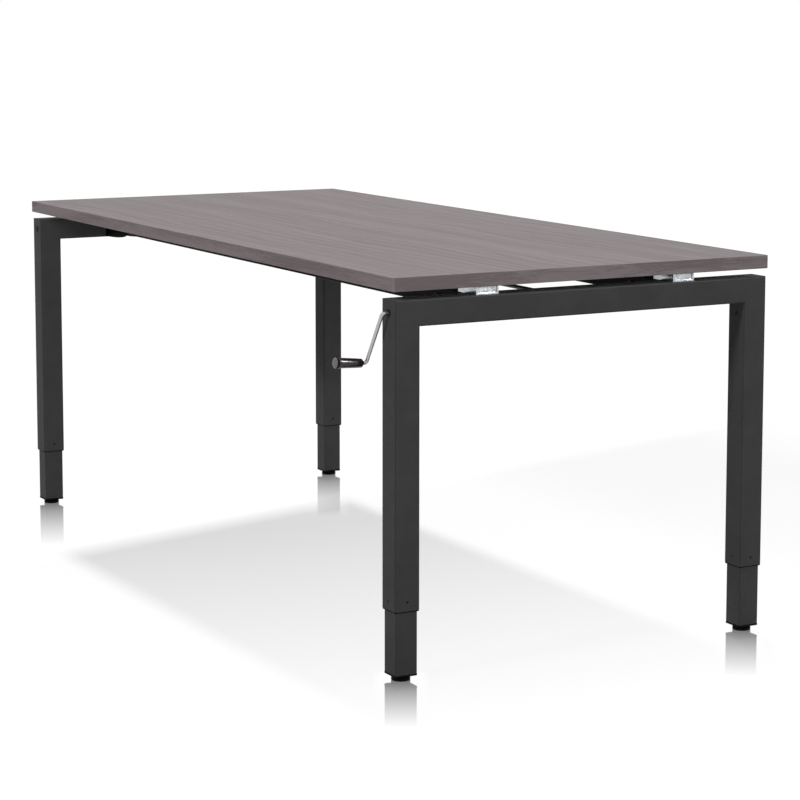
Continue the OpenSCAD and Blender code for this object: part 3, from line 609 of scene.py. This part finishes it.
def make_piece(shape, name, body, material_names, replaced):
    """Turns a finished bmesh into a piece that rides on a body and takes the place of nodes."""
    bmesh.ops.recalc_face_normals(shape, faces=shape.faces)
    mesh = bpy.data.meshes.new(name)
    shape.to_mesh(mesh)
    shape.free()
    for material_name in material_names:
        mesh.materials.append(MATERIALS[material_name])
    mesh.shade_smooth()
    mesh.set_sharp_from_angle(angle=SHARP)
    piece = bpy.data.objects.new(name, mesh)
    bpy.context.scene.collection.objects.link(piece)
    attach(piece, body)
    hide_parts(*replaced)


def lathe(shape, profile, centre, axis, sides):
    """Spins a profile of (radius, height) points about an axis that stands on centre."""
    axis = Vector(axis).normalized()
    turn = Vector((0, 0, 1)).rotation_difference(axis).to_matrix().to_4x4()
    place = Matrix.Translation(centre) @ turn
    points = [shape.verts.new(place @ Vector((radius, 0.0, height))) for radius, height in profile]
    edges = [shape.edges.new(pair) for pair in zip(points, points[1:])]
    bmesh.ops.spin(shape, geom=points + edges, cent=centre, axis=axis, angle=2 * math.pi,
                   steps=sides, use_merge=True, use_duplicate=False)
    bmesh.ops.remove_doubles(shape, verts=shape.verts, dist=SEAM)


def side_of(outline, radius, height):
    """Profile points from an outline of (depth inside the radius, lift, share of the height)."""
    return [(radius - depth, lift + share * height) for depth, lift, share in outline]


def softened(node_name, width, segments=2):
    """A copy of a CAD node's mesh with its doubles merged and its crisp edges rounded."""
    shape = bmesh.new()
    shape.from_mesh(NODES[node_name].data)
    bmesh.ops.remove_doubles(shape, verts=shape.verts, dist=SAME_POINT)
    bmesh.ops.dissolve_limit(shape, angle_limit=FLAT, verts=shape.verts, edges=shape.edges)
    crisp = [edge for edge in shape.edges
             if len(edge.link_faces) == 2 and edge.calc_face_angle() > CRISP]
    bmesh.ops.bevel(shape, geom=crisp, offset=width, offset_type="OFFSET", segments=segments,
                    profile=0.5, affect="EDGES", material=-1, clamp_overlap=True)
    bmesh.ops.dissolve_degenerate(shape, dist=SLIVER, edges=shape.edges)
    return shape


def reach(node_name, point, axis):
    """How far a CAD node reaches along an axis through point: its start and its end."""
    along = [(vertex.co - point).dot(axis) for vertex in NODES[node_name].data.vertices]
    return min(along), max(along)


def rise(edge):
    """How much higher one end of an edge lies than the other."""
    return abs(edge.verts[0].co.z - edge.verts[1].co.z)


# ---------- operators ----------

class DESK_OT_materials(bpy.types.Operator):
    """Mix the finishes of the desk"""
    bl_idname = "desk.materials"
    bl_label = "Mix finishes"

    def execute(self, context):
        scene = context.scene
        make_materials(scene.desk_board, scene.desk_frame, scene.desk_fittings,
                       scene.desk_crank)
        return {"FINISHED"}


class DESK_OT_board(bpy.types.Operator):
    """Lay the laminate and wrap the board in its edge band"""
    bl_idname = "desk.board"
    bl_label = "Board and edge band"

    def execute(self, context):
        board = context.scene.desk_board
        paint(["tabletop"], "laminate")
        low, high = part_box("edge_band")
        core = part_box("tabletop")[0]
        band = core.x - low.x
        shape = bmesh.new()
        bmesh.ops.create_cube(shape, size=1.0, matrix=Matrix.Translation((low + high) / 2)
                              @ Matrix.Diagonal((*(high - low), 1.0)))
        upright = [edge for edge in shape.edges if rise(edge) > SEAM]
        bmesh.ops.bevel(shape, geom=upright, offset=board.corner_round, offset_type="OFFSET",
                        segments=6, profile=0.5, affect="EDGES", material=-1)
        rim = [edge for edge in shape.edges if rise(edge) < SAME_POINT]
        bmesh.ops.bevel(shape, geom=rim, offset=board.edge_round, offset_type="OFFSET",
                        segments=4, profile=0.5, affect="EDGES", material=-1)
        lids = sorted(shape.faces, key=lambda face: face.calc_area())[-2:]
        bmesh.ops.inset_region(shape, faces=lids, thickness=band - board.edge_round,
                               use_even_offset=True, use_boundary=True)
        rims = [edge for lid in lids for edge in lid.edges]
        bmesh.ops.delete(shape, geom=lids, context="FACES_ONLY")
        bmesh.ops.bridge_loops(shape, edges=rims)
        for face in shape.faces:
            middle = face.calc_center_median()
            across_end = min(high.x - middle.x, middle.x - low.x)
            across_side = min(high.y - middle.y, middle.y - low.y)
            face.material_index = 0 if across_side < across_end else 1
        make_piece(shape, "edge_band_rounded", "frame", ["band_long", "band_short"],
                   ["edge_band"])
        return {"FINISHED"}


class DESK_OT_portals(bpy.types.Operator):
    """Coat the portal frames, the telescopic legs, the rails and their hangers"""
    bl_idname = "desk.portals"
    bl_label = "Portal frames"

    def execute(self, context):
        edge = context.scene.desk_frame.edge_break
        paint(["crossbar_right", "crossbar_left", *per_leg("outer_leg")], "mitred_coat")
        paint(per_leg("inner_leg"), "coat")
        # the rails and hangers take the near-black coat as painted shade
        paint(["front_rail", "back_rail"], "rail_coat_painted_shade")
        make_piece(softened("rail_hangers", edge), "rail_hangers_soft", "frame",
                   ["rail_coat_painted_shade"], ["rail_hangers"])
        return {"FINISHED"}


class DESK_OT_brackets(bpy.types.Operator):
    """Finish the galvanised brackets that carry the board"""
    bl_idname = "desk.brackets"
    bl_label = "Board brackets"

    def execute(self, context):
        edge = context.scene.desk_frame.bracket_break
        make_piece(softened("top_brackets", edge, segments=3), "top_brackets_soft", "frame",
                   ["zinc"], ["top_brackets"])
        return {"FINISHED"}


class DESK_OT_screws(bpy.types.Operator):
    """Finish the screws and bolts"""
    bl_idname = "desk.screws"
    bl_label = "Screws"

    def execute(self, context):
        paint(["tabletop_screws", "bracket_screws"], "zinc_screws")
        paint(["guide_screws", "bearing_screws", "hanger_bolts"], "black_screws")
        return {"FINISHED"}


class DESK_OT_plastics(bpy.types.Operator):
    """Finish the collars, bearings and nuts, and mould the end caps, crank bush and plug"""
    bl_idname = "desk.plastics"
    bl_label = "Plastic parts"

    def execute(self, context):
        portal = context.scene.desk_frame
        paint(["guide_collars", "long_shaft_bushes"], "black_plastic")
        paint(["spindle_bearings", "shaft_bearings", *per_leg("spindle_nut")], "white_plastic")
        for corner in CORNERS:
            node = f"end_cap_{corner}"
            make_piece(softened(node, portal.edge_break), f"{node}_soft", f"leg_{corner}",
                       ["black_plastic"], [node])
        for node in ("crank_bush", "hole_plug"):
            make_piece(softened(node, portal.bush_break), f"{node}_soft", "frame",
                       ["bush_plastic"], [node])
        return {"FINISHED"}


class DESK_OT_drive(bpy.types.Operator):
    """Finish the gears, shafts and spindles of the crank drive"""
    bl_idname = "desk.drive"
    bl_label = "Crank drive"

    def execute(self, context):
        paint(["cross_shaft_right", "cross_shaft_left"], "shaft_steel")
        paint(["cross_gears_right", "cross_gears_left", "long_shaft_gears", *per_leg("spindle"),
               *per_leg("spindle_gear")], "steel")
        paint(["long_shaft"], "dark_steel")
        return {"FINISHED"}


# the foot plate's side from its floor edge to its top, as side_of takes it
FOOT_SIDE = ((0.0012, 0.0, 0.0), (0.0004, 0.0004, 0.0), (0.0, 0.0014, 0.0), (0.0, 0.0, 0.52),
             (0.0003, 0.0, 0.64), (0.0012, 0.0, 0.82), (0.0024, 0.0, 0.93), (0.0042, -0.0001, 1.0))
FOOT_BORE = 0.34  # bore for the stud, as a share of the plate's radius
FOOT_FACETS = 56


class DESK_OT_feet(bpy.types.Operator):
    """Mould the round foot plates and finish their studs"""
    bl_idname = "desk.feet"
    bl_label = "Feet"

    def execute(self, context):
        paint(per_leg("foot_stud"), "steel")
        for corner in CORNERS:
            low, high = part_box(f"foot_plate_{corner}")
            centre = (low + high) / 2
            centre.z = low.z
            radius, height = (high.x - low.x) / 2, high.z - low.z
            bore = radius * FOOT_BORE
            shape = bmesh.new()
            lathe(shape, [(bore, 0.0), *side_of(FOOT_SIDE, radius, height), (bore, height),
                          (bore, 0.0)], centre, (0, 0, 1), FOOT_FACETS)
            make_piece(shape, f"foot_plate_{corner}_moulded", f"foot_{corner}",
                       ["foot_plastic"], [f"foot_plate_{corner}"])
        return {"FINISHED"}


# as side_of takes them: the grip's round nose at the arm and the shoulder at its outer end;
# between them its swell, as (share of the taper, share of the length)
GRIP_NOSE = ((0.0024, 0.0, 0.0), (0.0012, 0.0003, 0.0), (0.0004, 0.0010, 0.0), (0.0, 0.0024, 0.0))
GRIP_SWELL = ((0.3, 0.25), (0.56, 0.5), (0.8, 0.75))
GRIP_SHOULDER = ((0.0, -0.0028, 1.0), (0.0003, -0.0020, 1.0), (0.0012, -0.0018, 1.0),
                 (0.0012, 0.0, 1.0))
# the end cap's foot, inside the grip's radius, and its domed side, inside its own rim
CAP_FOOT = ((0.0006, 0.0, 0.0), (0.0002, 0.0002, 0.0))
CAP_DOME = ((0.0, 0.0, 0.22), (0.0, 0.0, 0.42), (0.0004, 0.0, 0.66), (0.0013, 0.0, 0.86),
            (0.0030, 0.0, 0.98))
CAP_END = 0.45  # how squarely a face of the cap stands on the grip's axis to count as its end
BEND_STEPS = 12


class DESK_OT_crank(bpy.types.Operator):
    """Bend the crank rod and mould its grip and end cap"""
    bl_idname = "desk.crank"
    bl_label = "Hand crank"

    def execute(self, context):
        crank = context.scene.desk_crank
        self.bend_rod(crank)
        self.mould_grip(crank)
        return {"FINISHED"}

    def bend_rod(self, crank):
        """Draws a round bar out into stub, bend, arm and bend, and adds hexagon and pin."""
        drive = Vector(JOINTS["crank_turn"]["pos_m"])
        corner = Vector(JOINTS["grip_spin"]["pos_m"])
        outward = Vector(JOINTS["grip_spin"]["axis"])
        inner_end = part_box("crank_rod")[1].y
        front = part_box("outer_leg_fr")[0].y
        elbow = Vector((drive.x, front - crank.stub, drive.z))
        ahead = Vector((0, -1, 0))
        arm = corner - elbow
        slope = ahead.angle(arm)
        lift = ahead.angle(outward)
        hinge = arm.cross(ahead).normalized()
        run = crank.bend * math.tan(slope / 2)
        grip_run = crank.bend * math.tan((slope + lift) / 2)
        shape = bmesh.new()
        start = Vector((drive.x, front - crank.gap, drive.z))
        face_front = Matrix.Rotation(QUARTER, 4, "X")
        ring = bmesh.ops.create_circle(
            shape, segments=crank.sides, radius=crank.rod / 2, cap_ends=False,
            matrix=Matrix.Translation(start) @ face_front)
        loop = list({edge for vert in ring["verts"] for edge in vert.link_edges})
        start_loop = loop
        loop = self.draw_out(shape, loop, Vector((0, -(crank.stub - run), 0)))
        centre = elbow - run * ahead + crank.bend * ahead.cross(hinge)
        loop = self.turn(shape, loop, centre, hinge, -slope)
        loop = self.draw_out(shape, loop, arm.normalized() * (arm.length - run - grip_run))
        centre = corner + grip_run * outward - crank.bend * outward.cross(hinge)
        loop = self.turn(shape, loop, centre, hinge, slope + lift)
        bmesh.ops.edgeloop_fill(shape, edges=loop)
        bmesh.ops.edgeloop_fill(shape, edges=start_loop)
        half_flat = math.pi / 6
        corner_up = math.atan2(-arm.x, -arm.z) + half_flat
        bar = bmesh.ops.create_circle(
            shape, segments=6, radius=crank.hexagon / math.sqrt(3), cap_ends=True,
            matrix=Matrix.Translation(Vector((drive.x, inner_end, drive.z)))
            @ Matrix.Rotation(corner_up, 4, "Y") @ face_front)
        face = bar["verts"][0].link_faces[0]
        drawn = bmesh.ops.extrude_face_region(shape, geom=[face])["geom"]
        points = [part for part in drawn if isinstance(part, bmesh.types.BMVert)]
        bmesh.ops.translate(shape, vec=Vector((0, front - 2 * crank.gap - inner_end, 0)),
                            verts=points)
        plated = set(shape.faces)
        pin, head = crank.pin / 2, crank.head_across / 2
        pin_start = grip_run - crank.gap
        pin_end = reach("crank_rod", corner, outward)[1]
        lathe(shape, [(0.0, pin_start), (pin, pin_start), (pin, pin_end - crank.head),
                      (head, pin_end - crank.head), (head, pin_end), (0.0, pin_end)],
              corner, outward, crank.sides)
        for face in shape.faces:
            face.material_index = 0 if face in plated else 1
        make_piece(shape, "crank_rod_bent", "crank", ["chrome", "dark_steel"],
                   ["crank_rod"])

    def draw_out(self, shape, loop, step):
        """Pulls a loop of edges straight on and returns the new loop."""
        drawn = bmesh.ops.extrude_edge_only(shape, edges=loop)["geom"]
        points = [part for part in drawn if isinstance(part, bmesh.types.BMVert)]
        bmesh.ops.translate(shape, vec=step, verts=points)
        return [part for part in drawn if isinstance(part, bmesh.types.BMEdge)]

    def turn(self, shape, loop, centre, hinge, angle):
        """Swings a loop of edges about a hinge and returns the new loop."""
        corners = list({vert for edge in loop for vert in edge.verts})
        turned = bmesh.ops.spin(shape, geom=corners + list(loop), cent=centre, axis=hinge,
                                angle=angle, steps=BEND_STEPS, use_duplicate=False)["geom_last"]
        return [part for part in turned if isinstance(part, bmesh.types.BMEdge)]

    def mould_grip(self, crank):
        """The tapered grip and the cap that closes its outer end."""
        corner = Vector(JOINTS["grip_spin"]["pos_m"])
        outward = Vector(JOINTS["grip_spin"]["axis"])
        near, far = reach("crank_grip", corner, outward)
        start = corner + near * outward
        length = far - near
        wide, slim = crank.grip / 2, crank.grip_neck / 2
        bore = crank.pin / 2 + crank.gap
        shape = bmesh.new()
        swell = [(slim + taper * (wide - slim), share * length) for taper, share in GRIP_SWELL]
        lathe(shape, [(bore, 0.0), *side_of(GRIP_NOSE, slim, length), *swell,
                      *side_of(GRIP_SHOULDER, wide, length), (bore, length), (bore, 0.0)],
              start, outward, crank.sides)
        # painted shade: the groove's faces take black plastic to darken the recess before the cap
        for face in shape.faces:
            along = (face.calc_center_median() - start).dot(outward)
            face.material_index = 1 if along > length - crank.groove else 0
        make_piece(shape, "crank_grip_moulded", "grip",
                   ["grip_plastic", "black_plastic"], ["crank_grip"])
        near, far = reach("grip_cap", corner, outward)
        start = corner + near * outward
        thick = far - near
        low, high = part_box("grip_cap")
        rim = (high.x - low.x) / 2
        shape = bmesh.new()
        lathe(shape, [(0.0, 0.0), *side_of(CAP_FOOT, wide, thick), *side_of(CAP_DOME, rim, thick),
                      (0.0, thick)], start, outward, crank.sides)
        for face in shape.faces:
            face.normal_update()
            face.material_index = 0 if abs(face.normal.dot(outward)) > CAP_END else 1
        make_piece(shape, "grip_cap_moulded", "grip",
                   ["cap_plastic", "black_plastic"], ["grip_cap"])


FLOOR_REACH = 40.0  # from the desk to the floor's edge
FILM_WIDTH = 36.0  # in millimetres
FARTHEST_SIGHT = 200.0


class DESK_OT_stage(bpy.types.Operator):
    """Set up the white studio: sky, floor, lights and camera"""
    bl_idname = "desk.stage"
    bl_label = "Studio"

    def execute(self, context):
        scene = context.scene
        stage = scene.desk_stage
        scene.view_settings.view_transform = "Standard"
        self.hang_sky(scene, stage)
        self.lay_floor(scene, stage)
        self.hang_sun(scene, "ceiling_light", stage.overhead, stage.overhead_from,
                      stage.overhead_spread)
        self.hang_sun(scene, "front_light", stage.front, stage.front_from, stage.front_spread)
        self.hang_sun(scene, "side_light", stage.side, stage.side_from, stage.side_spread)
        self.hang_gleam(scene, stage)
        self.set_camera(scene, stage)
        return {"FINISHED"}

    def hang_sky(self, scene, stage):
        """White to the camera and in reflections, and a plain soft light on the object."""
        world = bpy.data.worlds.new("studio_sky")
        world.use_nodes = True
        world.node_tree.nodes.clear()
        sheet = NodeSheet(world.node_tree)
        rays = sheet.add("ShaderNodeLightPath").outputs
        seen = sheet.math("MAXIMUM", rays["Is Camera Ray"], rays["Is Glossy Ray"])
        seen = sheet.math("MAXIMUM", seen, rays["Is Transmission Ray"])
        strength = sheet.span(seen, 0.0, 1.0, stage.sky, 1.0)
        back = sheet.add("ShaderNodeBackground", {"Color": WHITE, "Strength": strength})
        sheet.add("ShaderNodeOutputWorld", {"Surface": back.outputs[0]})
        scene.world = world

    def lay_floor(self, scene, stage):
        """A wide flat floor under the feet."""
        shape = bmesh.new()
        bmesh.ops.create_grid(shape, x_segments=1, y_segments=1, size=FLOOR_REACH)
        mesh = bpy.data.meshes.new("floor")
        shape.to_mesh(mesh)
        shape.free()
        mesh.materials.append(self.floor_material(stage))
        floor = bpy.data.objects.new("floor", mesh)
        scene.collection.objects.link(floor)

    def floor_material(self, stage):
        """A pale floor that looks white and keeps the shadow and the mirrored legs."""
        material = bpy.data.materials.new("Studio floor")
        material.use_nodes = True
        material.node_tree.nodes.clear()
        sheet = NodeSheet(material.node_tree)
        place = sheet.add("ShaderNodeTexCoord").outputs["Object"]
        rays = sheet.add("ShaderNodeLightPath").outputs
        facing = sheet.add("ShaderNodeLayerWeight", {"Blend": 0.5}).outputs["Facing"]
        glance = sheet.span(facing, stage.glance_low, stage.glance_high, 0.0, stage.floor_gloss)
        polish = sheet.math("MULTIPLY", self.floor_strips(sheet, place, stage), glance)
        plain = sheet.add("ShaderNodeBsdfDiffuse", {"Color": rgba([stage.floor_albedo] * 3)})
        shaded = sheet.add("ShaderNodeBsdfDiffuse", {"Color": WHITE})
        glow = sheet.add("ShaderNodeEmission", {"Color": WHITE, "Strength": stage.floor_glow})
        mirror = sheet.add("ShaderNodeBsdfGlossy", {"Color": WHITE,
                                                    "Roughness": stage.gloss_blur})
        lit = self.either(sheet, self.floor_shade(sheet, place, stage), glow, shaded)
        seen = self.either(sheet, polish, lit, mirror)
        look = sheet.math("MAXIMUM", rays["Is Camera Ray"], rays["Is Glossy Ray"])
        both = self.either(sheet, look, plain, seen)
        sheet.add("ShaderNodeOutputMaterial", {"Surface": both.outputs[0]})
        return material

    def either(self, sheet, factor, first, second):
        return sheet.add("ShaderNodeMixShader", {"Fac": factor, 1: first.outputs[0],
                                                 2: second.outputs[0]})

    def floor_shade(self, sheet, place, stage):
        """How far the floor takes shadows: from its slanted left edge, fading to the right."""
        axes = sheet.axes(place)
        depth = sheet.span(axes["X"], stage.shade_from, stage.shade_to, stage.shade_left,
                           stage.shade_right)
        lean = sheet.plus(axes["X"], axes["Y"], stage.shade_slant)
        begin = sheet.span(lean, stage.shade_start - stage.shade_blur,
                           stage.shade_start + stage.shade_blur)
        return sheet.math("MULTIPLY", depth, begin)

    def floor_strips(self, sheet, place, stage):
        """A mask of one strip before each foot, towards the camera, longer for a farther foot."""
        camera = Vector(stage.camera_place)
        feet = [sum(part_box(f"foot_plate_{corner}"), Vector()) / 2 for corner in CORNERS]
        nearest = min((camera - foot).length for foot in feet)
        edge = (stage.gloss_width, stage.gloss_fade * stage.gloss_width, 1.0, 0.0)
        strips = 0.0
        for foot in feet:
            sight = camera - foot
            length = stage.gloss_reach * (sight.length / nearest) ** stage.gloss_growth
            offset = sheet.add("ShaderNodeVectorMath", {0: place, 1: foot},
                               operation="SUBTRACT").outputs["Vector"]
            towards = (0.0, 0.0, -math.atan2(sight.x, -sight.y))
            apart = sheet.axes(sheet.stretched(offset, UNSCALED, towards))
            ahead = sheet.math("MULTIPLY", sheet.span(apart["Y"], -length, 0.0),
                               sheet.span(apart["Y"], *edge))
            aside = sheet.span(sheet.math("ABSOLUTE", apart["X"]), *edge)
            strips = sheet.math("MAXIMUM", strips, sheet.math("MULTIPLY", ahead, aside))
        return strips

    def hang(self, scene, name, content, place):
        """Puts a lamp or the camera in its place and returns its object."""
        holder = bpy.data.objects.new(name, content)
        holder.location = place
        scene.collection.objects.link(holder)
        return holder

    def hang_sun(self, scene, name, strength, source, spread):
        """A far light that shines from source towards the desk, the same all over it."""
        lamp = bpy.data.lights.new(name, "SUN")
        lamp.energy = strength
        lamp.angle = spread
        holder = self.hang(scene, name, lamp, source)
        holder.rotation_euler = Vector(source).to_track_quat("Z", "Y").to_euler()
        holder.visible_glossy = False

    def hang_gleam(self, scene, stage):
        """A softbox above the crank that gives its grip and rod their highlight."""
        lamp = bpy.data.lights.new("gleam_box", "AREA")
        lamp.energy = stage.gleam
        lamp.size = stage.gleam_size
        holder = self.hang(scene, "gleam_box", lamp, stage.gleam_from)
        grip = Vector(JOINTS["grip_spin"]["pos_m"])
        sight = Vector(stage.gleam_from) - grip
        holder.rotation_euler = sight.to_track_quat("Z", "Y").to_euler()
        holder.visible_diffuse = False
        holder.visible_camera = False

    def set_camera(self, scene, stage):
        lens = bpy.data.cameras.new("camera")
        lens.lens = stage.lens
        lens.sensor_width = FILM_WIDTH
        lens.shift_x = stage.shift_x
        lens.shift_y = stage.shift_y
        lens.clip_end = FARTHEST_SIGHT
        camera = self.hang(scene, "camera", lens, stage.camera_place)
        camera.rotation_euler = Euler((QUARTER - stage.camera_dip, 0.0, stage.camera_turn))
        scene.camera = camera


class DESK_PT_build(bpy.types.Panel):
    """Settings and pieces of the desk"""
    bl_idname = "DESK_PT_build"
    bl_label = "Crank desk"
    bl_space_type = "VIEW_3D"
    bl_region_type = "UI"
    bl_category = "Desk"

    def draw(self, context):
        for group, kind in SETTINGS.items():
            box = self.layout.box()
            for name in kind.__annotations__:
                box.prop(getattr(context.scene, group), name)
        for operator in STEPS:
            self.layout.operator(operator.bl_idname)


STEPS = (DESK_OT_materials, DESK_OT_board, DESK_OT_portals, DESK_OT_brackets, DESK_OT_screws,
         DESK_OT_plastics, DESK_OT_drive, DESK_OT_feet, DESK_OT_crank, DESK_OT_stage)
SETTINGS = {"desk_board": BoardSettings, "desk_frame": FrameSettings,
            "desk_fittings": FittingSettings, "desk_crank": CrankSettings,
            "desk_stage": StageSettings}


def register():
    for kind in (*SETTINGS.values(), *STEPS, DESK_PT_build):
        bpy.utils.register_class(kind)
    for name, kind in SETTINGS.items():
        setattr(bpy.types.Scene, name, PointerProperty(type=kind))


def unregister():
    for name in SETTINGS:
        delattr(bpy.types.Scene, name)
    for kind in reversed((*SETTINGS.values(), *STEPS, DESK_PT_build)):
        bpy.utils.unregister_class(kind)


def main():
    register()
    for step in STEPS:
        area, name = step.bl_idname.split(".")
        getattr(getattr(bpy.ops, area), name)()


if __name__ == "__main__":
    main()
